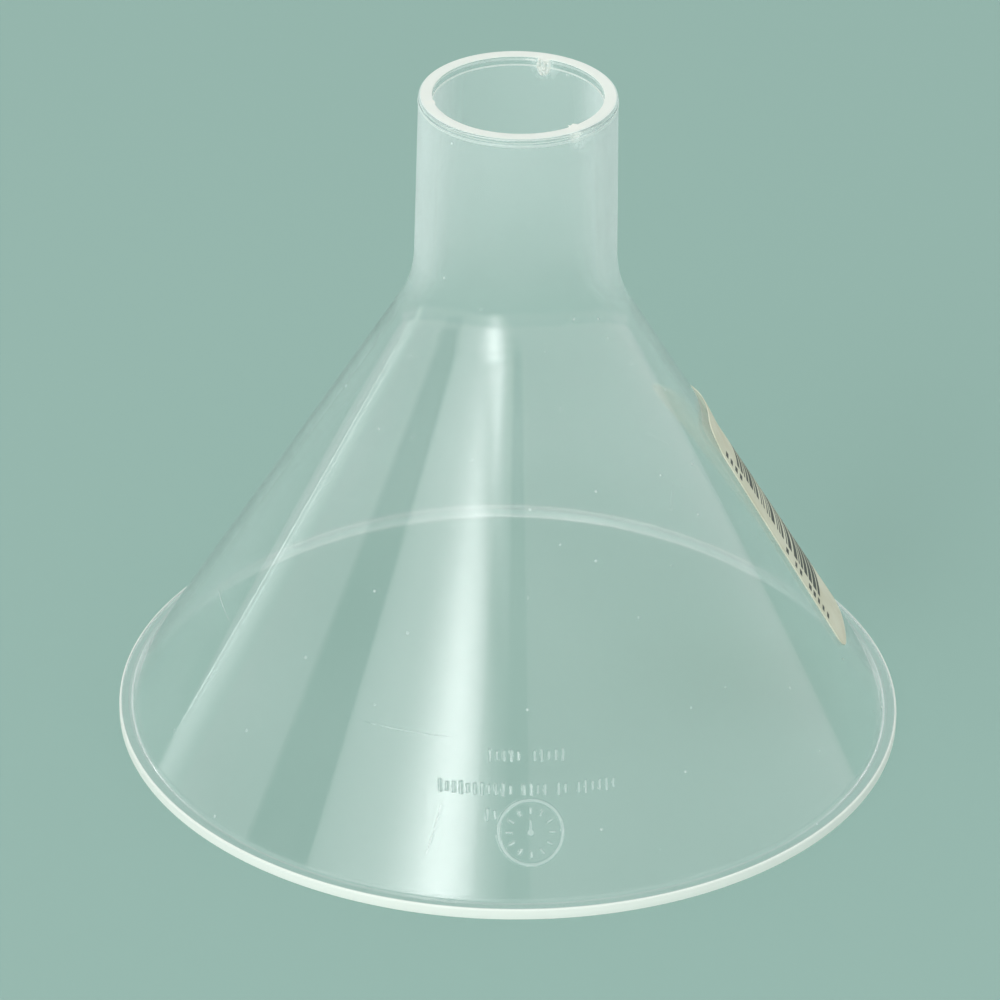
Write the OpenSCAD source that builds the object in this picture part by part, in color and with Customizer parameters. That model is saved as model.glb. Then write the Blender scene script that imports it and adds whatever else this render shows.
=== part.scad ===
// Powder funnel: one clear moulding, standing on its rim with the stem up,
// and a self-adhesive paper label on its flank.
// Origin: centre of the rim's flat underside. +Z runs up the stem. Millimetres.

/* [Rim] */
// Diameter over the rim flange
rim_d = 120; // [80:1:180]
// Thickness of the rim flange
rim_t = 1.8; // [1.2:0.1:3]
// How far the flange stands out past the foot of the cone
rim_lip = 1.87; // [1:0.01:4]
// Rounding of the flange's two outer edges
rim_edge_r = 0.3; // [0.1:0.05:0.5]
// Fillet between the flange's top and the cone
rim_fillet_r = 0.4; // [0.1:0.05:1]

/* [Cone] */
// Angle across the whole cone, side to side
cone_angle = 61.3; // [50:0.1:75]
// Thickness of the cone's wall, square to its face
cone_wall = 1.4; // [0.8:0.1:2.5]

/* [Stem] */
// Outer diameter of the stem at its tip
stem_d = 29.4; // [16:0.1:36]
// Length of the stem, from its tip to where it would meet the cone
stem_l = 31.1; // [20:0.1:60]
// Thickness of the stem's wall at its tip
stem_wall = 2.15; // [1.2:0.05:3]
// Draft of the stem's outside, in degrees
stem_draft = 0.9; // [0:0.1:2]
// Draft of the bore, in degrees
bore_draft = 1.35; // [0:0.05:2.5]
// Outer radius of the bend from the cone into the stem
neck_r = 20; // [8:1:30]

/* [Stem tip] */
// Rounding of the tip's outer edge
tip_edge_r = 0.45; // [0.1:0.05:0.8]
// How far the parting bead stands out of the stem
bead_proud = 0.12; // [0.05:0.01:0.3]
// Height of the parting bead
bead_h = 0.5; // [0.3:0.1:1]
// Distance from the tip to the middle of the parting bead
bead_drop = 1.1; // [1.1:0.1:3]
// Distance from the tip to the ledge that the core leaves in the bore
ledge_drop = 1.4; // [0.6:0.1:3]
// Width of that ledge
ledge_step = 0.12; // [0.05:0.01:0.3]

/* [Gate scars] */
// Directions of the broken gates round the bore, in degrees
gate_at = [73, 193, 309];
// Diameter of a broken gate
gate_d = 2.2; // [1.2:0.1:3]
// How far each scar stands into the bore, in the same order
gate_stubs = [0.6, 0.25, 0.4];
// Distance from the tip to the middle of a scar
gate_drop = 1.9; // [1.2:0.1:4]

/* [Label] */
// Length of the label, up the cone
label_l = 44.5; // [20:0.5:60]
// Width of the label, round the cone
label_w = 27; // [10:0.5:30]
// Radius of the label's corners
label_corner_r = 2.4; // [0.5:0.1:5]
// Thickness of the label's paper
label_paper_t = 0.1; // [0.05:0.01:0.3]
// Thickness of the adhesive under the paper
label_glue_t = 0.04; // [0.02:0.01:0.1]
// Distance up the cone's face from the flange to the middle of the label
label_up = 33.8; // [26:0.1:45]
// Direction of the label's middle round the cone, in degrees
label_at = 15.5; // [-180:0.1:180]
// How far the label is turned out of line with the cone, in degrees
label_tilt = -9.3; // [-20:0.1:20]

/* [Hidden] */
$fn = 180;

// Largest turn of one chord where an outline is round, in degrees
arc_step = 3;

half = cone_angle / 2;
rim_r = rim_d / 2;
skew = 1 / cos(half);   // turns a thickness square to the cone into a step along r

// Foot of the cone's outer face, on top of the flange
foot_r = rim_r - rim_lip;
foot_z = rim_t;

// Point where the cone's and the stem's outer faces would meet
root_r = stem_d / 2 + stem_l * tan(stem_draft);
root_z = foot_z + (foot_r - root_r) / tan(half);
height = root_z + stem_l;
tip_r = stem_d / 2;

// Bore, and the point where it would meet the cone's inner face
bore_tip_r = tip_r - stem_wall;
mouth_r = foot_r + foot_z * tan(half) - cone_wall * skew;
bore_root_z = (mouth_r - bore_tip_r - height * tan(bore_draft)) / (tan(half) - tan(bore_draft));
bore_root_r = mouth_r - bore_root_z * tan(half);
neck_inner_r = neck_r + (cone_wall + stem_wall) / 2;

function stem_r(z) = tip_r + (height - z) * tan(stem_draft);
function bore_r(z) = bore_tip_r + (height - z) * tan(bore_draft);
function cone_r(z) = foot_r - (z - foot_z) * tan(half);

function unit(v) = v / norm(v);

// The points of an arc of radius r that rounds corner b of the path a, b, c
function round_corner(a, b, c, r) =
    let (to_a = unit(a - b), to_c = unit(c - b))
    let (gape = acos(to_a * to_c), mid = b + unit(to_a + to_c) * r / sin(gape / 2))
    let (start = b + to_a * r / tan(gape / 2) - mid, end = b + to_c * r / tan(gape / 2) - mid)
    let (from = atan2(start[1], start[0]), raw = atan2(end[1], end[0]) - from)
    let (turn = raw > 180 ? raw - 360 : raw < -180 ? raw + 360 : raw)
    let (steps = ceil(abs(turn) / arc_step))
    [for (i = [0 : steps]) mid + r * [cos(from + turn * i / steps), sin(from + turn * i / steps)]];

// An outline from corners written [x, y, radius], where a radius of 0 stays sharp
function rounded(corners) =
    let (last = len(corners) - 1, flat = [for (c = corners) [c[0], c[1]]])
    [for (i = [0 : last])
        let (before = flat[i == 0 ? last : i - 1], after = flat[i == last ? 0 : i + 1])
        each corners[i][2] == 0 ? [flat[i]] : round_corner(before, flat[i], after, corners[i][2])];

// The wall of the funnel, cut through from its axis outwards
function wall_outline() =
    let (bead_low = height - bead_drop - bead_h / 2, bead_high = height - bead_drop + bead_h / 2)
    let (ledge_z = height - ledge_drop)
    rounded([
        [mouth_r, 0, rim_edge_r],
        [rim_r, 0, rim_edge_r],
        [rim_r, rim_t, rim_edge_r],
        [foot_r, foot_z, rim_fillet_r],
        [root_r, root_z, neck_r],
        [stem_r(bead_low), bead_low, 0],
        [stem_r(height - bead_drop) + bead_proud, height - bead_drop, 0],
        [stem_r(bead_high), bead_high, 0],
        [tip_r, height, tip_edge_r],
        [bore_r(height) + ledge_step, height, 0],
        [bore_r(ledge_z) + ledge_step, ledge_z, 0],
        [bore_r(ledge_z), ledge_z, 0],
        [bore_root_r, bore_root_z, neck_inner_r]
    ]);

// One broken gate: a short peg across the bore's wall
module gate_scar(stub) {
    z = height - gate_drop;
    translate([bore_r(z) - stub, 0, z])
        rotate([0, 90, 0])
            cylinder(d = gate_d, h = stub + stem_wall / 2);
}

// A layer on the cone's outer face, from inner to outer above that face
module cone_layer(inner, outer) {
    rotate_extrude()
        polygon([
            [cone_r(foot_z) + inner * skew, foot_z],
            [cone_r(foot_z) + outer * skew, foot_z],
            [cone_r(root_z) + outer * skew, root_z],
            [cone_r(root_z) + inner * skew, root_z]
        ]);
}

module rounded_rectangle(w, l, r) {
    square([w - 2 * r, l], center = true);
    square([w, l - 2 * r], center = true);
    for (x = [-1, 1], y = [-1, 1])
        translate([x * (w / 2 - r), y * (l / 2 - r)])
            circle(r);
}

// The block of space that the label covers, square to the cone at the label's middle
module label_block() {
    z = foot_z + label_up * cos(half);
    depth = label_w / 2;
    rotate([0, 0, label_at])
        translate([cone_r(z), 0, z])
            rotate([0, -half, 0])
                rotate([90, 0, 90])
                    rotate([0, 0, label_tilt])
                        translate([0, 0, -depth])
                            linear_extrude(depth + 1)
                                rounded_rectangle(label_w, label_l, label_corner_r);
}

module label_layer(inner, outer) {
    intersection() {
        cone_layer(inner, outer);
        label_block();
    }
}

module funnel_body() {
    color([0.86, 0.93, 0.90]) {
        rotate_extrude()
            polygon(wall_outline());
        for (i = [0 : len(gate_at) - 1])
            rotate([0, 0, gate_at[i]])
                gate_scar(gate_stubs[i]);
    }
}

module label_adhesive() {
    color([0.90, 0.88, 0.76])
        label_layer(0, label_glue_t);
}

module label_paper() {
    color([0.95, 0.94, 0.87])
        label_layer(label_glue_t, label_glue_t + label_paper_t);
}

funnel_body();
label_adhesive();
label_paper();
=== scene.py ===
"""Looks of the powder funnel: a clear moulding on its rim, and a paper label on its flank.

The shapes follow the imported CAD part. Lengths are in millimetres until mesh() turns them into metres.
"""
import math
import random

import bpy
from mathutils import Matrix, Vector, noise


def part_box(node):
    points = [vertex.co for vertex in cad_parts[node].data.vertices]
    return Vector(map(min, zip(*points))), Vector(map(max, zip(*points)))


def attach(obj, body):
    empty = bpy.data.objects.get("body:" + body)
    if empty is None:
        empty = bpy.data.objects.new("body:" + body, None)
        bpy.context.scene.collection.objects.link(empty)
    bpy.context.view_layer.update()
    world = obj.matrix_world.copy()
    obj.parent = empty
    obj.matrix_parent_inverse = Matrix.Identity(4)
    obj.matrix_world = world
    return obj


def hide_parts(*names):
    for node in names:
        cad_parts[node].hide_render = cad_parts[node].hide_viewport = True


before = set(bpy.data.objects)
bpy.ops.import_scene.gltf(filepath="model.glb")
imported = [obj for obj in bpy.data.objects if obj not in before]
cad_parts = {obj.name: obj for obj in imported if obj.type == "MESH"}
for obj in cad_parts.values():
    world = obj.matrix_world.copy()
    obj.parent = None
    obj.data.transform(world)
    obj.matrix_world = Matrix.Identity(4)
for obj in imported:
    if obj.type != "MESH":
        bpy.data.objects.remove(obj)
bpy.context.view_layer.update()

MM = 0.001
BODY = "root"


# ---------------------------------------------------------------- sizes, as in the CAD part

RIM_T = 1.8
RIM_LIP = 1.87
RIM_EDGE_R = 0.3
RIM_FILLET_R = 0.4
CONE_HALF = math.radians(61.3 / 2)
CONE_WALL = 1.4
STEM_TIP_R = 14.7
STEM_L = 31.1
STEM_WALL = 2.15
STEM_DRAFT = math.radians(0.9)
BORE_DRAFT = math.radians(1.35)
NECK_R = 20
TIP_EDGE_R = 0.45
BEAD_PROUD = 0.12
BEAD_H = 0.5
BEAD_DROP = 1.1
LEDGE_DROP = 1.4
LEDGE_STEP = 0.12
GATES_END = 3.4     # below the tip, past the lowest gate

LABEL_L = 44.5
LABEL_W = 27
LABEL_CORNER_R = 2.4
LABEL_PAPER_T = 0.1
LABEL_GLUE_T = 0.04
LABEL_UP = 33.8
LABEL_AT = math.radians(15.5)
LABEL_TILT = math.radians(9.3)

RIM_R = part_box("funnel_body")[1][0] / MM
FOOT_R = RIM_R - RIM_LIP
ROOT_R = STEM_TIP_R + STEM_L * math.tan(STEM_DRAFT)
ROOT_Z = RIM_T + (FOOT_R - ROOT_R) / math.tan(CONE_HALF)
HEIGHT = ROOT_Z + STEM_L
MOUTH_R = FOOT_R + RIM_T * math.tan(CONE_HALF) - CONE_WALL / math.cos(CONE_HALF)
BORE_TIP_R = STEM_TIP_R - STEM_WALL
BORE_ROOT_Z = (MOUTH_R - BORE_TIP_R - HEIGHT * math.tan(BORE_DRAFT)) / (
    math.tan(CONE_HALF) - math.tan(BORE_DRAFT)
)
BORE_ROOT_R = MOUTH_R - BORE_ROOT_Z * math.tan(CONE_HALF)
APEX_Z = RIM_T + FOOT_R / math.tan(CONE_HALF)


def stem_r(z):
    return STEM_TIP_R + (HEIGHT - z) * math.tan(STEM_DRAFT)


def bore_r(z):
    return BORE_TIP_R + (HEIGHT - z) * math.tan(BORE_DRAFT)


def cone_r(z):
    return FOOT_R - (z - RIM_T) * math.tan(CONE_HALF)


def smooth(t):
    """0 below 0, 1 above 1, and an S curve between."""
    t = min(max(t, 0.0), 1.0)
    return t * t * (3 - 2 * t)


# ---------------------------------------------------------------- mesh helpers


def mesh(name, points, faces, sharp_deg=35):
    """A smooth-shaded object from points in millimetres, sharp where faces meet steeply."""
    data = bpy.data.meshes.new(name)
    data.from_pydata([(x * MM, y * MM, z * MM) for x, y, z in points], [], faces)
    data.polygons.foreach_set("use_smooth", [True] * len(faces))
    data.set_sharp_from_angle(angle=math.radians(sharp_deg))
    data.update()
    piece = bpy.data.objects.new(name, data)
    bpy.context.scene.collection.objects.link(piece)
    return piece


ARC_ERROR = 0.0015    # how far a step of a rounded corner may stray from the true arc


def round_corner(before, corner, after, radius):
    """The points of an arc that rounds the corner of a path."""
    to_before = (before - corner).normalized()
    to_after = (after - corner).normalized()
    gape = to_before.angle(to_after)
    middle = corner + (to_before + to_after).normalized() * radius / math.sin(gape / 2)
    reach = radius / math.tan(gape / 2)
    start = corner + to_before * reach - middle
    end = corner + to_after * reach - middle
    turn = math.atan2(start.x * end.y - start.y * end.x, start.dot(end))
    step = min(2 * math.acos(1 - ARC_ERROR / radius), math.radians(12))
    steps = max(4, math.ceil(abs(turn) / step))
    return [middle + Matrix.Rotation(turn * i / steps, 2) @ start for i in range(steps + 1)]


def wall_corners():
    """Corners of the wall's section as (r, z, rounding), from the mouth, over the outside, to the bore."""
    bead_z = HEIGHT - BEAD_DROP
    ledge_z = HEIGHT - LEDGE_DROP
    gates_z = HEIGHT - GATES_END
    return [
        (MOUTH_R, 0, RIM_EDGE_R),
        (RIM_R, 0, RIM_EDGE_R),
        (RIM_R, RIM_T, RIM_EDGE_R),
        (FOOT_R, RIM_T, RIM_FILLET_R),
        (ROOT_R, ROOT_Z, NECK_R),
        (stem_r(bead_z - BEAD_H / 2), bead_z - BEAD_H / 2, 0),
        (stem_r(bead_z) + BEAD_PROUD, bead_z, 0.3),
        (stem_r(bead_z + BEAD_H / 2), bead_z + BEAD_H / 2, 0),
        (STEM_TIP_R, HEIGHT, TIP_EDGE_R),
        (bore_r(HEIGHT) + LEDGE_STEP, HEIGHT, 0.1),
        (bore_r(ledge_z) + LEDGE_STEP, ledge_z, 0),
        (bore_r(ledge_z), ledge_z, 0),
        (bore_r(gates_z), gates_z, 0),
        (BORE_ROOT_R, BORE_ROOT_Z, NECK_R + (CONE_WALL + STEM_WALL) / 2),
    ]


LONG_RUN = 1.5     # a straight run longer than this gets points of its own
RUN_STEP = 4.5
BEND_GUARD = 0.12   # the first and last of them lie this close to the bends, so that shading stays true


def wall_section():
    """The section as a closed list of (r, z), with extra points on its straight runs."""
    corners = wall_corners()
    path = []
    for i, (r, z, rounding) in enumerate(corners):
        here = Vector((r, z))
        if rounding:
            before = Vector(corners[i - 1][:2])
            after = Vector(corners[(i + 1) % len(corners)][:2])
            path += round_corner(before, here, after, rounding)
        else:
            path.append(here)
    section = []
    for a, b in zip(path, path[1:] + path[:1]):
        gap = (b - a).length
        section.append(a)
        if gap > LONG_RUN:
            steps = max(2, round(gap / RUN_STEP))
            guard = BEND_GUARD / gap
            marks = [guard] + [k / steps for k in range(1, steps)] + [1 - guard]
            section += [a.lerp(b, t) for t in marks]
    return section


# ---------------------------------------------------------------- relief on the moulding

COLUMNS = 288
COLUMN = 2 * math.pi / COLUMNS
FINE = 0.12         # how finely the patches that carry relief are cut up the section
MARKS_HALF = 17     # degrees that the marked patch reaches each side of its lines
GATE_HALF = 7.5     # degrees that a gate's patch reaches each side of it

MARK_H = 0.18       # how far the moulded marks stand out of the cone
MARK_SOFT = 0.07    # half the width of their sloping edges
LINE_SHORT_Z = 20.4
LINE_LONG_Z = 16.1
DIAL_Z = 10.7
DIAL_AT = math.radians(-86)
LINE_AT = math.radians(-86.5)

# Groups of plain upright strokes in each line: how many, and the gap after the group
SHORT_LINE = [(5, 1.6), (5, 0)]
LONG_LINE = [(11, 1.2), (4, 1.2), (2, 1.2), (6, 0)]
SMALL_LINE = [-5.9, -4.8]
LINE_SMALL_Z = 12.9
STROKE_STEP = 1.05
STROKE_W = 0.17
STROKE_H = 0.9

# Broken gates round the tip: direction, how far each stands into the bore, half width, depth
GATES = [
    (math.radians(73), 0.75, 1.2, 2.9),
    (math.radians(193), 0.25, 0.8, 2.0),
    (math.radians(309), 0.6, 1.1, 2.5),
]


def ridge(distance):
    """Height of a mark at a distance outside its outline, negative inside."""
    return MARK_H * smooth((MARK_SOFT - distance) / (2 * MARK_SOFT))


def stroke_places(groups):
    """Where the strokes of a line of groups stand along it, with the line's middle at 0."""
    places = []
    at = 0.0
    for count, gap in groups:
        for _ in range(count):
            places.append(at)
            at += STROKE_STEP
        at += gap - STROKE_STEP * 0.25
    middle = (places[0] + places[-1]) / 2
    return [p - middle for p in places]


def line_height(u, v, places, v_middle):
    if abs(v - v_middle) > STROKE_H + 2 * MARK_SOFT:
        return 0
    nearest, k = min((abs(u - p), k) for k, p in enumerate(places))
    tall = STROKE_H * (1, 0.7, 0.85)[k % 3]
    return ridge(max(nearest - STROKE_W, abs(v - v_middle) - tall))


def dial_height(u, v):
    """A plain ring with twelve ticks and a pointer, as on a mould's date insert."""
    rho = math.hypot(u, v)
    if rho > 5.5:
        return 0
    angle = math.atan2(v, u)
    off = angle - round(angle / math.radians(30)) * math.radians(30)
    tick = max(abs(rho * math.cos(off) - 3.25) - 0.45, abs(rho * math.sin(off)) - 0.14)
    pointer = max(abs(u) - 0.17, abs(v - 0.9) - 0.95)
    return ridge(min(abs(rho - 4.75) - 0.24, tick, pointer, rho - 0.5))


SHORT_PLACES = stroke_places(SHORT_LINE)
LONG_PLACES = stroke_places(LONG_LINE)


def mark_relief(at, r, z):
    steep = math.cos(CONE_HALF)
    slant = z / steep
    along = math.remainder(at - LINE_AT, 2 * math.pi) * r
    across_dial = math.remainder(at - DIAL_AT, 2 * math.pi) * r
    height = max(
        line_height(along, slant, SHORT_PLACES, LINE_SHORT_Z / steep),
        line_height(along, slant, LONG_PLACES, LINE_LONG_Z / steep),
        line_height(along, slant, SMALL_LINE, LINE_SMALL_Z / steep),
        dial_height(across_dial, slant - DIAL_Z / steep),
    )
    return height * steep, height * math.sin(CONE_HALF)


def scar_relief(at, r, z, gate):
    """The torn face of a broken gate: facets of uneven height, thrown up out of the bore's wall."""
    gate_at, stub, half_w, depth = gate
    u = (at - gate_at) * BORE_TIP_R
    d = HEIGHT - z
    reach = 1 - math.hypot(u / half_w, (d - 0.35 * depth) / (0.68 * depth))
    inner = smooth((BORE_TIP_R + 0.9 - r) / 0.5)
    if reach <= 0 or inner <= 0:
        return 0, 0
    spot = Vector((u, d, gate_at)) / 0.42
    torn = (
        0.62 + 0.45 * noise.cell(spot)
        + 0.5 * noise.noise(spot * 1.9) + 0.3 * noise.noise(spot * 4.3)
    )
    rise = stub * inner * smooth(reach / 0.35) * min(max(torn, 0.12), 1.25)
    return -rise, 0


# ---------------------------------------------------------------- the turned wall, with finer patches


class Turned:
    """A section turned round the Z axis in quads, with patches of smaller quads that carry relief."""

    def __init__(self, section):
        self.section = section
        self.rows = len(section)
        self.points, self.raised, self.faces, self.known = [], [], [], {}
        self.patches = []

    def add_patch(self, rows, columns, across, step, relief):
        """rows and columns are index ranges; across and step say how finely each quad is cut."""
        self.patches.append((rows, columns, across, step, relief))

    def patch(self, j, i):
        for p in self.patches:
            if j % self.rows in p[0] and (i - p[1].start) % COLUMNS < len(p[1]):
                return p
        return None

    def cuts(self, j, p):
        a, b = self.section[j % self.rows], self.section[(j + 1) % self.rows]
        return max(1, round((b - a).length / p[3]))

    def vertex(self, j, a, m, i, b, n, p=None):
        """The point a/m of the way along row j's edge and b/n of the way across column i."""
        if a == m:
            j, a = j + 1, 0
        if b == n:
            i, b = i + 1, 0
        key = (j % self.rows, a / m, i % COLUMNS, b / n)
        if key not in self.known:
            here = self.section[j % self.rows].lerp(self.section[(j + 1) % self.rows], a / m)
            at = (i + b / n) * COLUMN
            r, z = here
            dr, dz = p[4](at, r, z) if p else (0, 0)
            r, z = r + dr, z + dz
            self.known[key] = len(self.points)
            self.points.append((r * math.cos(at), r * math.sin(at), z))
            self.raised.append(min(math.hypot(dr, dz) / MARK_H, 1.0))
        return self.known[key]

    def fine_cell(self, j, i, p):
        m, n = self.cuts(j, p), p[2]
        for a in range(m):
            for b in range(n):
                self.faces.append([
                    self.vertex(j, a, m, i, b, n, p),
                    self.vertex(j, a, m, i, b + 1, n, p),
                    self.vertex(j, a + 1, m, i, b + 1, n, p),
                    self.vertex(j, a + 1, m, i, b, n, p),
                ])

    def plain_cell(self, j, i):
        """One quad, with the extra corners of any patch that it borders."""
        below, above = self.patch(j - 1, i), self.patch(j + 1, i)
        right, left = self.patch(j, i + 1), self.patch(j, i - 1)
        loop = []
        n = below[2] if below else 1
        loop += [self.vertex(j, 0, 1, i, b, n) for b in range(n)]
        m = self.cuts(j, right) if right else 1
        loop += [self.vertex(j, a, m, i + 1, 0, 1) for a in range(m)]
        n = above[2] if above else 1
        loop += [self.vertex(j + 1, 0, 1, i, n - b, n) for b in range(n)]
        m = self.cuts(j, left) if left else 1
        loop += [self.vertex(j, m - a, m, i, 0, 1) for a in range(m)]
        self.faces.append(loop)

    def build(self, name):
        # Patches come first, so that the corners on their edges carry their relief
        cells = [(j, i, self.patch(j, i)) for j in range(self.rows) for i in range(COLUMNS)]
        for j, i, p in cells:
            if p:
                self.fine_cell(j, i, p)
        for j, i, p in cells:
            if not p:
                self.plain_cell(j, i)
        made = mesh(name, self.points, self.faces)
        raised = made.data.attributes.new("raised", "FLOAT", "POINT")
        raised.data.foreach_set("value", self.raised)
        return made


def rows_where(section, test):
    """The range of rows whose both ends pass a test on (r, z)."""
    good = [j for j in range(len(section) - 1) if test(*section[j]) and test(*section[j + 1])]
    return range(good[0], good[-1] + 1)


def columns_round(at, half_deg):
    """The range of columns that reaches half_deg each side of a direction."""
    first = math.floor((at - math.radians(half_deg)) / COLUMN)
    last = math.ceil((at + math.radians(half_deg)) / COLUMN)
    return range(first, last)


def make_funnel():
    section = wall_section()
    body = Turned(section)

    def on_marked_cone(r, z):
        return 4.0 < z < 23.5 and abs(r - cone_r(z)) < 0.01

    def at_bore_tip(r, z):
        return z > HEIGHT - GATES_END - 0.01 and r < STEM_TIP_R - 1.0

    marked = rows_where(section, on_marked_cone)
    body.add_patch(marked, columns_round(LINE_AT, MARKS_HALF), 10, FINE, mark_relief)
    tip = rows_where(section, at_bore_tip)
    for gate in GATES:
        def relief(at, r, z, gate=gate):
            wrapped = gate[0] + math.remainder(at - gate[0], 2 * math.pi)
            return scar_relief(wrapped, r, z, gate)

        body.add_patch(tip, columns_round(gate[0], GATE_HALF), 3, FINE, relief)
    return body.build("funnel")


# ---------------------------------------------------------------- the label


def on_cone(u, v, lift):
    """The place u along and v across the label, lift above the cone's outer face."""
    slant = (APEX_Z - RIM_T) / math.cos(CONE_HALF) - LABEL_UP
    turn = LABEL_AT * math.sin(CONE_HALF)
    lean = turn - LABEL_TILT
    x = slant * math.cos(turn) + u * math.cos(lean) - v * math.sin(lean)
    y = slant * math.sin(turn) + u * math.sin(lean) + v * math.cos(lean)
    reach = math.hypot(x, y)
    at = math.atan2(y, x) / math.sin(CONE_HALF)
    r = reach * math.sin(CONE_HALF) + lift * math.cos(CONE_HALF)
    z = APEX_Z - reach * math.cos(CONE_HALF) + lift * math.sin(CONE_HALF)
    return r * math.cos(at), r * math.sin(at), z


def label_curl(u, v):
    """The paper has let go of the cone a little along its upper end, most at the near corner."""
    up_end = smooth((-u - LABEL_L / 2 + 6.5) / 6.5)
    near_side = 1 - 0.75 * smooth((v + LABEL_W / 2) / LABEL_W)
    return 0.55 * up_end * near_side


# Print on the label, all of it plain bars: v is across the label and u along it
BARS_U = (-12.4, 15.4)
BARS_V = (-9.9, 4.0)
BAR_MODULE = 0.36
NOTE_ROWS = [
    (-12.6, -11.0, (-16.0, -9.5)),
    (-12.6, -11.0, (3.0, 17.5)),
    (5.6, 6.7, (-14.5, 11.0)),
    (8.2, 9.3, (-14.5, 4.0)),
    (10.6, 11.4, (6.0, 16.0)),
]
NOTE_STEP = 1.45
NOTE_W = 0.85


def bar_spans():
    """The dark bars, from left to right, in an order that spells nothing."""
    draw = random.Random(7)
    spans = []
    at = BARS_U[0]
    while at < BARS_U[1] - 4 * BAR_MODULE:
        width = BAR_MODULE * draw.choice([1, 1, 2, 2, 3])
        spans.append((at, at + width))
        at += width + BAR_MODULE * draw.choice([1, 1, 2, 2])
    return spans


def note_spans():
    """Short dashes that stand where small print would be, as (u0, u1, v0, v1)."""
    draw = random.Random(11)
    spans = []
    for v0, v1, (start, stop) in NOTE_ROWS:
        at = start
        while at < stop - NOTE_W:
            if draw.random() > 0.14:
                spans.append((at, at + NOTE_W * draw.uniform(0.7, 1.0), v0, v1))
            at += NOTE_STEP
    return spans


def lines_between(low, high, marks, step):
    """Sorted grid lines from low to high that hold every mark, to 0.05 mm, with no gap above step."""
    marks = {round(m * 20) / 20 for m in marks}
    stops = sorted({m for m in marks if low + 0.05 < m < high - 0.05} | {low, high})
    lines = []
    for a, b in zip(stops, stops[1:]):
        parts = max(1, math.ceil((b - a) / step))
        lines += [a + (b - a) * k / parts for k in range(parts)]
    return lines + [high]


def corner_reach(v):
    """Half the label's length at a distance v across it, shorter at the round corners."""
    over = abs(v) - (LABEL_W / 2 - LABEL_CORNER_R)
    if over <= 0:
        return LABEL_L / 2
    return LABEL_L / 2 - LABEL_CORNER_R + math.sqrt(max(LABEL_CORNER_R**2 - over**2, 0.06))


def make_label_layer(name, low, high, printed, inset=0.0):
    """One layer of the label, from low to high above the cone; print takes the second material."""
    bars, notes = bar_spans(), note_spans()
    u_marks = [x for span in bars for x in span] + [x for n in notes for x in n[:2]]
    v_marks = list(BARS_V) + [x for n in notes for x in n[2:]]
    corner_u, corner_v = LABEL_L / 2 - LABEL_CORNER_R, LABEL_W / 2 - LABEL_CORNER_R
    u_marks += [-corner_u, corner_u]
    v_marks += [-corner_v, corner_v]
    us = lines_between(-LABEL_L / 2, LABEL_L / 2, u_marks if printed else [-corner_u, corner_u], 0.9)
    vs = lines_between(-LABEL_W / 2, LABEL_W / 2, v_marks if printed else [-corner_v, corner_v], 0.9)
    # Rows close up towards the two long edges, where the corners turn fastest
    tail = [LABEL_W / 2 - LABEL_CORNER_R * (1 - math.sin(math.radians(a))) for a in range(12, 90, 12)]
    tail.append(LABEL_W / 2)
    vs = sorted([v for v in vs if abs(v) <= corner_v] + tail + [-t for t in tail])

    def place(u, v, height):
        if abs(u) > corner_u:
            share = (abs(u) - corner_u) / LABEL_CORNER_R
            u = math.copysign(corner_u + share * (corner_reach(v) - corner_u), u)
        shrink = 1 - inset / (LABEL_L / 2)
        return on_cone(u * shrink, v * shrink, height + label_curl(u, v))

    wide, deep = len(us), len(vs)
    points = [place(u, v, high) for v in vs for u in us] + [place(u, v, low) for v in vs for u in us]
    under = wide * deep
    faces, inked = [], []

    def is_inked(u, v):
        in_bars = BARS_V[0] < v < BARS_V[1] and any(a < u < b for a, b in bars)
        return in_bars or any(n[0] < u < n[1] and n[2] < v < n[3] for n in notes)

    for j in range(deep - 1):
        for i in range(wide - 1):
            a = j * wide + i
            quad = [a, a + 1, a + wide + 1, a + wide]
            faces.append(quad)
            inked.append(printed and is_inked((us[i] + us[i + 1]) / 2, (vs[j] + vs[j + 1]) / 2))
            faces.append([under + k for k in reversed(quad)])
            inked.append(False)
    rim = [i for i in range(wide)]
    rim += [j * wide + wide - 1 for j in range(1, deep)]
    rim += [(deep - 1) * wide + i for i in range(wide - 2, -1, -1)]
    rim += [j * wide for j in range(deep - 2, 0, -1)]
    for a, b in zip(rim, rim[1:] + rim[:1]):
        faces.append([a, under + a, under + b, b])
        inked.append(False)
    piece = mesh(name, points, faces)
    piece.data.polygons.foreach_set("material_index", [int(k) for k in inked])
    return piece


# ---------------------------------------------------------------- material helpers


def new_material(name):
    material = bpy.data.materials.new(name)
    material.use_nodes = True
    material.node_tree.nodes.clear()
    return material, material.node_tree


def put(tree, socket, value):
    """Links an output to a socket, or sets the socket's own value."""
    if isinstance(value, bpy.types.NodeSocket):
        tree.links.new(value, socket)
    else:
        socket.default_value = value


def node(tree, kind, inputs=None, **settings):
    made = tree.nodes.new(kind)
    for name, value in settings.items():
        setattr(made, name, value)
    for name, value in (inputs or {}).items():
        put(tree, made.inputs[name], value)
    return made


def maths(tree, operation, a, b=None):
    made = node(tree, "ShaderNodeMath", operation=operation)
    put(tree, made.inputs[0], a)
    if b is not None:
        put(tree, made.inputs[1], b)
    return made.outputs[0]


def total(tree, *terms):
    out = terms[0]
    for term in terms[1:]:
        out = maths(tree, "ADD", out, term)
    return out


def times(tree, *factors):
    out = factors[0]
    for factor in factors[1:]:
        out = maths(tree, "MULTIPLY", out, factor)
    return out


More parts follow.
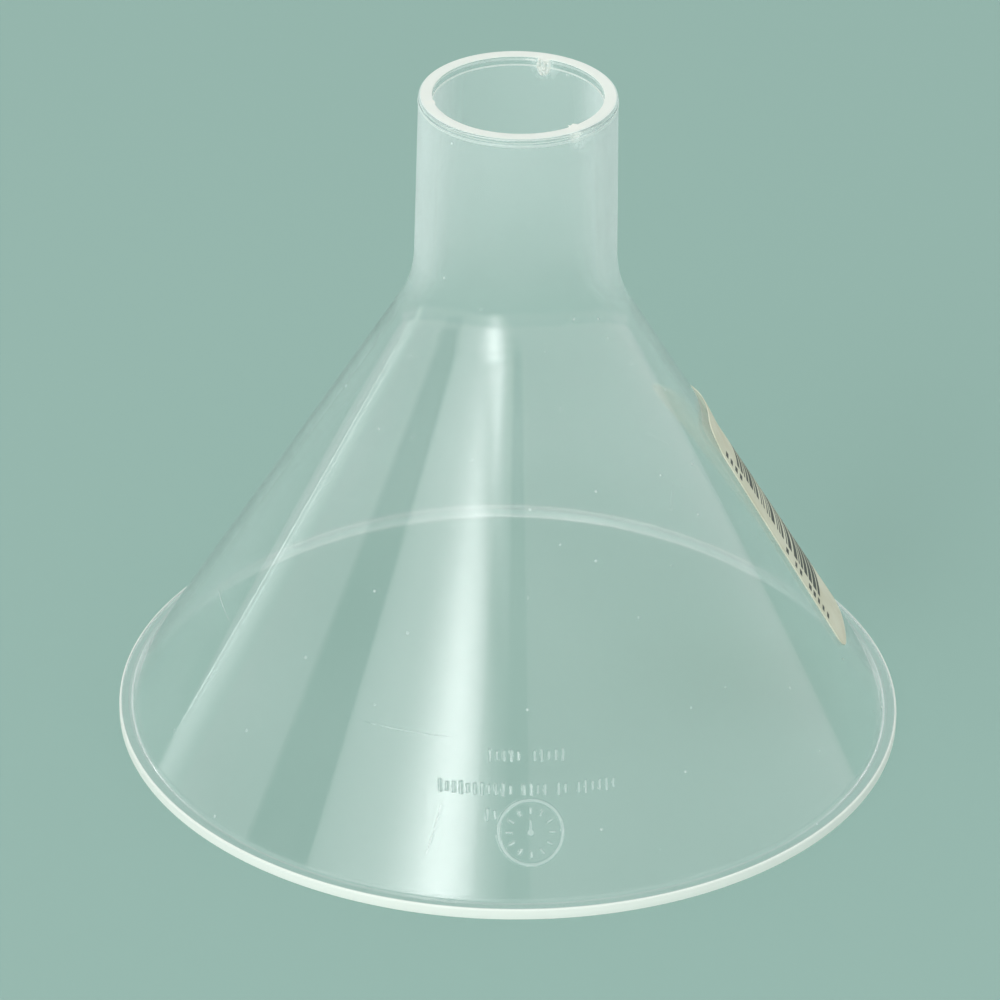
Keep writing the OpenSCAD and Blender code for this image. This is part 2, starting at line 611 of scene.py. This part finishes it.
def fade(tree, value, start, end, low=0.0, high=1.0):
    """An S curve from low at start to high at end."""
    made = node(tree, "ShaderNodeMapRange", interpolation_type="SMOOTHSTEP")
    for name, number in (("From Min", start), ("From Max", end), ("To Min", low), ("To Max", high)):
        made.inputs[name].default_value = number
    put(tree, made.inputs["Value"], value)
    return made.outputs["Result"]


def band(tree, value, middle, half):
    """1 at middle, fading to 0 at half each side of it; both are in millimetres."""
    away = maths(tree, "ABSOLUTE", maths(tree, "SUBTRACT", value, middle * MM))
    return fade(tree, away, half * MM, half * 0.4 * MM)


def cloud(tree, place, scale, detail=2.0, stretch=None):
    """Smooth noise from 0 to 1 with features about 1/scale metres across."""
    if stretch:
        mapping = node(tree, "ShaderNodeMapping", {"Vector": place, "Scale": stretch})
        place = mapping.outputs[0]
    made = node(tree, "ShaderNodeTexNoise", {"Vector": place, "Scale": scale, "Detail": detail})
    return made.outputs["Fac"]


def specks(tree, place, scale, size, share, stretch=None, turn=(0, 0, 0)):
    """Scattered small spots: one in share cells of 1/scale metres holds one, of size times its cell."""
    if stretch:
        mapping = node(tree, "ShaderNodeMapping", {"Vector": place, "Scale": stretch, "Rotation": turn})
        place = mapping.outputs[0]
    made = node(tree, "ShaderNodeTexVoronoi", {"Vector": place, "Scale": scale})
    spot = fade(tree, made.outputs["Distance"], size, size * 0.5)
    pick = node(tree, "ShaderNodeSeparateColor", {"Color": made.outputs["Color"]})
    return times(tree, spot, maths(tree, "GREATER_THAN", pick.outputs[0], 1 - share))


# Scratches on the cone: direction and lean in degrees, height and half length in millimetres
SCRATCHES = [
    (-165, 24.0, 6.0, -2),
    (-109, 22.2, 8.5, 1),
    (-101.5, 10.5, 4.5, 80),
    (-85.6, 40.7, 0.9, 84),
    (-38, 49, 3.5, 35),
    (52, 30, 6.0, 8),
    (118, 55, 4.5, -28),
    (166, 18, 5.0, 62),
]
SCRATCH_W = 0.1
ROUND_R = 45    # radius that turns an angle round the cone into a length, near enough


def scratch_marks(tree, around):
    """1 along each scratch, fading out at its ends."""
    marks = 0.0
    for at, z, half, lean in SCRATCHES:
        own = node(tree, "ShaderNodeMapping", {
            "Vector": around,
            "Location": (math.radians(at) * ROUND_R * MM, z * MM, 0),
            "Rotation": (0, 0, math.radians(lean)),
        }, vector_type="TEXTURE")
        parts = node(tree, "ShaderNodeSeparateXYZ", {"Vector": own.outputs[0]})
        along = maths(tree, "ABSOLUTE", parts.outputs["X"])
        off = maths(tree, "ABSOLUTE", parts.outputs["Y"])
        line = fade(tree, off, SCRATCH_W * MM, SCRATCH_W * 0.3 * MM)
        marks = total(tree, marks, times(tree, line, fade(tree, along, half * MM, half * 0.4 * MM)))
    return marks


# ---------------------------------------------------------------- materials


CONE_MILK = 0.037
CONE_ROUGH = 0.045
STEM_ROUGH = 0.17    # added to the cone's


def clear_plastic():
    """Natural polypropylene: clear with a bluish milk in it, thicker and milkier up the stem.

    Textures read the place in metres, so heights here are in metres where MM isn't written.
    """
    material, tree = new_material("clear_polypropylene")
    place = node(tree, "ShaderNodeTexCoord").outputs["Object"]
    parts = node(tree, "ShaderNodeSeparateXYZ", {"Vector": place})
    x, y, z = parts.outputs
    flat = node(tree, "ShaderNodeCombineXYZ", {"X": x, "Y": y})
    radius = node(tree, "ShaderNodeVectorMath", {0: flat.outputs[0]}, operation="LENGTH")
    radius = radius.outputs["Value"]

    # Round the funnel in metres, and up it, for marks that run with the moulding
    turn = maths(tree, "ARCTAN2", y, x)
    round_it = times(tree, turn, ROUND_R * MM)
    around = node(tree, "ShaderNodeCombineXYZ", {"X": round_it, "Y": z}).outputs[0]

    waves = cloud(tree, place, 38, 3)
    turned = cloud(tree, around, 2000, 2, stretch=(0.02, 1, 1))
    haze = fade(tree, waves, 0.35, 0.7, 0.7, 1.3)
    stem = total(
        tree,
        times(tree, fade(tree, z, 0.071, 0.085), 0.65),
        times(tree, fade(tree, z, 0.084, 0.104), 0.35),
    )
    inside = fade(tree, radius, (STEM_TIP_R - 1.0) * MM, (STEM_TIP_R - 1.3) * MM)
    ledge_z = HEIGHT - LEDGE_DROP
    recess = times(tree, inside, fade(tree, z, ledge_z * MM, (ledge_z + 0.15) * MM))
    ledge = times(tree, inside, band(tree, z, ledge_z, 0.16))
    # Painted highlight: the bead's crest is painted whiter, a light line where it catches the light
    bead_highlight = times(tree, band(tree, z, HEIGHT - BEAD_DROP, 0.3), maths(tree, "SUBTRACT", 1.0, inside))
    groove = times(tree, band(tree, z, HEIGHT - 0.65, 0.22), maths(tree, "SUBTRACT", 1.0, inside))
    tip_face = times(
        tree,
        fade(tree, z, (HEIGHT - 0.17) * MM, (HEIGHT - 0.03) * MM),
        fade(tree, radius, (STEM_TIP_R - 0.1) * MM, (STEM_TIP_R - 0.42) * MM),
    )
    # Painted glow: the rim pipes light outwards, so its edge is painted white as seen from outside and
    # stays clear from inside
    outside = node(tree, "ShaderNodeNewGeometry").outputs["Backfacing"]
    outside = maths(tree, "SUBTRACT", 1.0, times(tree, outside, 0.8))
    rim_edge_glow = times(tree, fade(tree, radius, (RIM_R - 0.5) * MM, (RIM_R - 0.12) * MM), outside)
    flange = fade(tree, radius, (FOOT_R - 0.1) * MM, (FOOT_R + 0.3) * MM)
    foot = times(tree, band(tree, radius, FOOT_R + 0.05, 0.55), fade(tree, z, 0.0032, 0.002))
    stress = 0.0
    for at, stub, _, _ in GATES:
        spot = Vector((math.cos(at), math.sin(at), 0)) * (STEM_TIP_R - 0.8)
        spot.z = HEIGHT - 1.2
        away = node(tree, "ShaderNodeVectorMath", {0: place, 1: spot * MM}, operation="DISTANCE")
        reach = (1.3 + 2.6 * stub) * MM
        stress = total(tree, stress, fade(tree, away.outputs["Value"], reach, 0.0006, 0, 0.25 + stub))
    stress = times(tree, stress, fade(tree, cloud(tree, place, 900, 4), 0.35, 0.65))
    raised = node(tree, "ShaderNodeAttribute", attribute_name="raised").outputs["Fac"]
    torn = fade(tree, cloud(tree, place, 2600, 3), 0.38, 0.6, 0.45, 1.0)
    scar = times(tree, raised, fade(tree, z, 0.09, 0.1), torn)
    chip_at = maths(tree, "ABSOLUTE", maths(tree, "SUBTRACT", turn, GATES[0][0] + math.radians(9.5)))
    chip = times(tree, inside, band(tree, z, HEIGHT - 0.5, 0.16), fade(tree, chip_at, 0.065, 0.05))
    # Painted highlight: the raised strokes are painted whiter where they stand out, for the light they
    # catch on their shoulders
    stroke_highlight = times(tree, raised, fade(tree, z, 0.03, 0.025))
    dust = specks(tree, place, 210, 0.06, 0.5)
    cone_side = total(tree, radius, times(tree, z, math.tan(CONE_HALF)))
    outer = (FOOT_R + RIM_T * math.tan(CONE_HALF)) * MM
    worn = fade(tree, cloud(tree, place, 1300, 2), 0.35, 0.6, 0.25, 1.0)
    on_outside = fade(tree, cone_side, outer - 0.9 * MM, outer - 0.4 * MM)
    scratch = times(tree, scratch_marks(tree, around), on_outside, worn)
    fluff = specks(tree, around, 120, 0.05, 0.2, stretch=(0.25, 1, 1), turn=(0, 0, 0.5))
    # A look along the wall meets more of the milk than a look straight through it
    facing = node(tree, "ShaderNodeLayerWeight", {"Blend": 0.5}).outputs["Facing"]
    depth = fade(tree, facing, 0.12, 0.75, 1.0, 3.0)
    in_stem = times(tree, stem, fade(tree, waves, 0.3, 0.75, 0.10, 0.13))
    in_wall = total(tree, times(tree, haze, CONE_MILK), in_stem)
    # Painted sheen: the stem's flanks get extra milk towards grazing views, so its edges show whiter, over
    # and above the longer path through the milk
    flank_sheen = times(tree, fade(tree, facing, 0.3, 0.8), fade(tree, z, 0.066, 0.086, 0.0, 0.5))
    # Painted shade: the groove below the tip's outer edge and the recess above the inner ledge lose most
    # of the wall's milk, so they read as darker shaded lines
    painted_shade = maths(tree, "MAXIMUM", recess, groove)
    unshaded = maths(tree, "SUBTRACT", 1.0, times(tree, painted_shade, 0.85))
    # Whiter places: the tip's face, the inner ledge, the torn gates and the chip, with the rim edge's
    # painted glow and the bead crest's painted highlight added in
    whitening_and_painted_light = total(
        tree,
        times(tree, tip_face, 0.85),
        times(tree, rim_edge_glow, 0.85),
        scar,
        times(tree, chip, 0.7),
        times(tree, ledge, 0.5),
        times(tree, bead_highlight, 0.3),
    )
    milk = total(
        tree,
        times(tree, total(tree, times(tree, in_wall, depth), flank_sheen), unshaded),
        whitening_and_painted_light,
        times(tree, stroke_highlight, 0.38),
        times(tree, flange, outside, 0.11),
        times(tree, foot, 0.16),
        times(tree, stress, 0.7),
        times(tree, dust, 0.6),
        times(tree, fluff, 0.3),
        times(tree, scratch, 0.45),
    )
    # Grain finer than the eye can part
    grain = node(tree, "ShaderNodeTexWhiteNoise", {"Vector": place}).outputs["Value"]
    milk = times(tree, maths(tree, "MINIMUM", milk, 0.9), fade(tree, grain, 0, 1, 0.7, 1.3))
    milk = maths(tree, "MINIMUM", milk, 0.93)

    # Turning marks of the mould, which run round the funnel, and fine handling scratches
    scuffs = cloud(tree, place, 3500, 2)
    neck = times(tree, fade(tree, z, 0.058, 0.07), fade(tree, z, 0.084, 0.078))
    ribs = times(tree, turned, fade(tree, z, 0.06, 0.066, 0.12, 0.0))
    height = total(tree, ribs, times(tree, scuffs, total(tree, 0.04, times(tree, neck, 0.6))))
    bump = node(tree, "ShaderNodeBump", {"Height": height, "Strength": 0.8, "Distance": 0.00001})
    rough = total(
        tree,
        CONE_ROUGH,
        times(tree, fade(tree, z, 0.077, 0.088), STEM_ROUGH),
        times(tree, fade(tree, waves, 0.4, 0.8), 0.02),
        times(tree, whitening_and_painted_light, 0.3),
    )

    clear = node(tree, "ShaderNodeBsdfPrincipled", {
        "Base Color": (0.99, 1.0, 0.995, 1),
        "Roughness": rough,
        "IOR": 1.49,
        "Transmission Weight": 1.0,
        "Normal": bump.outputs[0],
    })
    white = node(tree, "ShaderNodeMix", {"Factor": maths(tree, "MINIMUM", whitening_and_painted_light, 1.0)}, data_type="RGBA")
    white.inputs[6].default_value = (0.85, 0.955, 0.935, 1)
    white.inputs[7].default_value = (0.93, 0.955, 0.885, 1)
    sockets = {"Color": white.outputs[2], "Normal": bump.outputs[0]}
    front = node(tree, "ShaderNodeBsdfDiffuse", sockets)
    through = node(tree, "ShaderNodeBsdfTranslucent", sockets)
    share = maths(tree, "MAXIMUM", maths(tree, "SUBTRACT", 0.5, times(tree, whitening_and_painted_light, 0.45)), 0.1)
    milky = node(tree, "ShaderNodeMixShader", {0: share, 1: front.outputs[0], 2: through.outputs[0]})
    body = node(tree, "ShaderNodeMixShader", {0: milk, 1: clear.outputs[0], 2: milky.outputs[0]})
    # Light from lamps and from lit surfaces goes straight through, to reach what is behind the wall
    path = node(tree, "ShaderNodeLightPath").outputs
    let_by = node(tree, "ShaderNodeBsdfTransparent", {"Color": (0.965, 0.975, 0.97, 1)}).outputs[0]
    soft = node(tree, "ShaderNodeMixShader", {0: path["Is Diffuse Ray"], 1: body.outputs[0], 2: let_by})
    lit = node(tree, "ShaderNodeMixShader", {0: path["Is Shadow Ray"], 1: soft.outputs[0], 2: let_by})
    node(tree, "ShaderNodeOutputMaterial", {"Surface": lit.outputs[0]})
    return material


def paper():
    """Uncoated label paper, cream with age, with a fine tooth and a few brownish clouds."""
    material, tree = new_material("label_paper")
    place = node(tree, "ShaderNodeTexCoord").outputs["Object"]
    tooth = cloud(tree, place, 5200, 4)
    age = cloud(tree, place, 160, 3)
    colour = node(tree, "ShaderNodeMix", {"Factor": fade(tree, age, 0.35, 0.7)}, data_type="RGBA")
    colour.inputs[6].default_value = (0.73, 0.735, 0.59, 1)
    colour.inputs[7].default_value = (0.65, 0.64, 0.49, 1)
    bump = node(tree, "ShaderNodeBump", {"Height": tooth, "Strength": 0.5, "Distance": 0.00002})
    surface = node(tree, "ShaderNodeBsdfPrincipled", {
        "Base Color": colour.outputs[2],
        "Roughness": fade(tree, tooth, 0.3, 0.7, 0.62, 0.8),
        "Normal": bump.outputs[0],
    })
    node(tree, "ShaderNodeOutputMaterial", {"Surface": surface.outputs[0]})
    return material


def ink():
    """Black print that has sunk into the paper unevenly."""
    material, tree = new_material("label_print")
    place = node(tree, "ShaderNodeTexCoord").outputs["Object"]
    grain = cloud(tree, place, 4200, 4)
    colour = node(tree, "ShaderNodeMix", {"Factor": fade(tree, grain, 0.45, 0.8)}, data_type="RGBA")
    colour.inputs[6].default_value = (0.035, 0.038, 0.034, 1)
    colour.inputs[7].default_value = (0.16, 0.15, 0.12, 1)
    surface = node(tree, "ShaderNodeBsdfPrincipled", {
        "Base Color": colour.outputs[2],
        "Roughness": fade(tree, grain, 0.3, 0.7, 0.45, 0.6),
    })
    node(tree, "ShaderNodeOutputMaterial", {"Surface": surface.outputs[0]})
    return material


def glue():
    """Pressure-sensitive adhesive, a little yellow, with air caught under it."""
    material, tree = new_material("label_adhesive")
    place = node(tree, "ShaderNodeTexCoord").outputs["Object"]
    trapped = specks(tree, place, 420, 0.3, 0.25)
    colour = node(tree, "ShaderNodeMix", {"Factor": trapped}, data_type="RGBA")
    colour.inputs[6].default_value = (0.76, 0.74, 0.63, 1)
    colour.inputs[7].default_value = (0.82, 0.80, 0.71, 1)
    surface = node(tree, "ShaderNodeBsdfPrincipled", {
        "Base Color": colour.outputs[2],
        "Roughness": fade(tree, trapped, 0, 1, 0.28, 0.5),
    })
    node(tree, "ShaderNodeOutputMaterial", {"Surface": surface.outputs[0]})
    return material


# ---------------------------------------------------------------- the object

funnel = make_funnel()
funnel.data.materials.append(clear_plastic())
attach(funnel, BODY)
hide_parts("funnel_body")

label = make_label_layer("label", LABEL_GLUE_T + 0.004, LABEL_GLUE_T + LABEL_PAPER_T, True)
label.data.materials.append(paper())
label.data.materials.append(ink())
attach(label, BODY)
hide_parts("label_paper")

backing = make_label_layer("label_backing", 0.004, LABEL_GLUE_T, False, inset=0.05)
backing.data.materials.append(glue())
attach(backing, BODY)
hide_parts("label_adhesive")


# ---------------------------------------------------------------- the room


def toward(azimuth, elevation, distance):
    """A point seen from the funnel's middle in a direction given in degrees."""
    az, el = math.radians(azimuth), math.radians(elevation)
    return Vector((math.cos(az) * math.cos(el), math.sin(az) * math.cos(el), math.sin(el))) * distance


def face_middle(thing, place):
    """Stands a lamp or card at a place, with its lit side towards the funnel."""
    thing.location = place + Vector((0, 0, 0.05))
    thing.rotation_euler = (-place).to_track_quat("-Z", "Y").to_euler()


def soft_lamp(name, azimuth, elevation, distance, width, height, radiance):
    """A flat soft lamp as bright as radiance all over, where a white wall in full light is 1."""
    light = bpy.data.lights.new(name, "AREA")
    light.shape = "RECTANGLE"
    light.size, light.size_y = width, height
    light.energy = radiance * math.pi * width * height
    lamp = bpy.data.objects.new(name, light)
    bpy.context.scene.collection.objects.link(lamp)
    face_middle(lamp, toward(azimuth, elevation, distance))
    lamp.visible_camera = False
    return lamp


def shade_lamp(lamp, *glows):
    """Shades a lamp with glows that add up, each a ramp across and a ramp up.

    A ramp is a list of (place from 0 to 1, level).
    """
    lamp.data.use_nodes = True
    tree = lamp.data.node_tree
    spot = node(tree, "ShaderNodeNewGeometry").outputs["Parametric"]
    parts = node(tree, "ShaderNodeSeparateXYZ", {"Vector": spot})
    x, y = parts.outputs["X"], parts.outputs["Y"]
    levels = [times(tree, ramp(tree, x, across), ramp(tree, y, up)) for across, up in glows]
    tree.links.new(total(tree, *levels), tree.nodes["Emission"].inputs["Strength"])


def ramp(tree, value, stops):
    made = node(tree, "ShaderNodeValToRGB", {"Fac": value})
    points = made.color_ramp.elements
    while len(points) < len(stops):
        points.new(0.5)
    for point, (place, level) in zip(points, stops):
        point.position = place
        point.color = (level, level, level, 1)
    return made.outputs["Color"]


SQUARE = [(-1, -1), (1, -1), (1, 1), (-1, 1)]


def card(name, azimuth, elevation, distance, width, height, level, far_level=None):
    """A card that only reflections and clear plastic show; it may fade to another level across."""
    w, h = width / 2 / MM, height / 2 / MM
    made = mesh(name, [(x * w, y * h, 0) for x, y in SQUARE], [(0, 1, 2, 3)])
    material, tree = new_material(name)
    glow = node(tree, "ShaderNodeEmission", {"Color": (0.9, 1, 0.97, 1), "Strength": level})
    if far_level is not None:
        across = node(tree, "ShaderNodeTexCoord").outputs["Object"]
        across = node(tree, "ShaderNodeSeparateXYZ", {"Vector": across}).outputs["X"]
        put(tree, glow.inputs["Strength"], fade(tree, across, -width / 2, width / 2, level, far_level))
    node(tree, "ShaderNodeOutputMaterial", {"Surface": glow.outputs[0]})
    made.data.materials.append(material)
    face_middle(made, toward(azimuth, elevation, distance))
    made.visible_camera = made.visible_diffuse = made.visible_shadow = False
    return made


window = soft_lamp("window", -120, 32, 2.0, 2.2, 2.3, 6.1)
PANE = (
    [(0.338, 0), (0.42, 0.1), (0.478, 0.28), (0.535, 0.52), (0.583, 0.8), (0.646, 1),
     (0.7, 0.97), (0.75, 0.75), (0.8, 0.45), (0.86, 0.2), (0.94, 0.07), (1, 0)],
    [(0, 0.8), (0.4, 1), (0.442, 0.92), (0.46, 0.75), (0.476, 0.58), (0.487, 0.27),
     (0.5, 0.25), (0.512, 0.85), (0.62, 1), (0.74, 0.8), (0.9, 0)],
)
CURTAIN = (
    [(0, 0.08), (0.158, 0.17), (0.29, 0.26), (0.42, 0.28), (0.543, 0.2), (0.817, 0.05), (1, 0)],
    [(0, 0.6), (0.4, 0.8), (0.46, 0.8), (0.52, 0.3), (0.62, 0.1), (0.8, 0)],
)
shade_lamp(window, PANE, CURTAIN)
soft_lamp("ceiling", 60, 78, 2.2, 1.6, 1.6, 0.85)
card("dark_left", -159, 22, 2.2, 0.75, 1.35, 0.05)
card("grey_front", -91, 38, 2.2, 0.6, 1.5, 0.5)
card("bright_edge", 151.8, 5, 2.4, 0.024, 0.5, 5.5)
card("edge_glow", 158, 5, 2.41, 0.46, 0.5, 1.8, 0.9)

FLOOR_HALF = 4000
floor = mesh("floor", [(x * FLOOR_HALF, y * FLOOR_HALF, 0) for x, y in SQUARE], [(0, 1, 2, 3)])
floor_material, floor_tree = new_material("floor")
cover = node(floor_tree, "ShaderNodeBsdfDiffuse", {"Color": (0.30, 0.46, 0.41, 1), "Roughness": 0.5})
node(floor_tree, "ShaderNodeOutputMaterial", {"Surface": cover.outputs[0]})
floor.data.materials.append(floor_material)

scene = bpy.context.scene
world = bpy.data.worlds.new("room")
world.use_nodes = True
room = world.node_tree
sky = node(room, "ShaderNodeTexCoord").outputs["Generated"]
rise = node(room, "ShaderNodeSeparateXYZ", {"Vector": sky}).outputs["Z"]
room.nodes["Background"].inputs["Color"].default_value = (1, 1, 1, 1)
room.links.new(fade(room, rise, 0.62, 0.88, 0.92, 0.35), room.nodes["Background"].inputs["Strength"])
scene.world = world


# ---------------------------------------------------------------- camera and output

LENS = 237.6
EYE = Vector((0, -0.8675, 0.5397))
DIP, SWING, ROLL = 0.5256, -0.002, 0.0162

ahead = Vector((math.sin(SWING) * math.cos(DIP), math.cos(SWING) * math.cos(DIP), -math.sin(DIP)))
level = ahead.cross(Vector((0, 0, 1))).normalized()
upright = level.cross(ahead)
right = level * math.cos(ROLL) + upright * math.sin(ROLL)
top = upright * math.cos(ROLL) - level * math.sin(ROLL)
lens = bpy.data.cameras.new("camera")
lens.lens, lens.sensor_width = LENS, 36
camera = bpy.data.objects.new("camera", lens)
camera.matrix_world = Matrix.Translation(EYE) @ Matrix((right, top, -ahead)).transposed().to_4x4()
scene.collection.objects.link(camera)
scene.camera = camera

scene.view_settings.view_transform = "Standard"
scene.cycles.max_bounces = 16
scene.cycles.transmission_bounces = 14
scene.cycles.transparent_max_bounces = 16
scene.cycles.caustics_reflective = False
scene.cycles.caustics_refractive = False
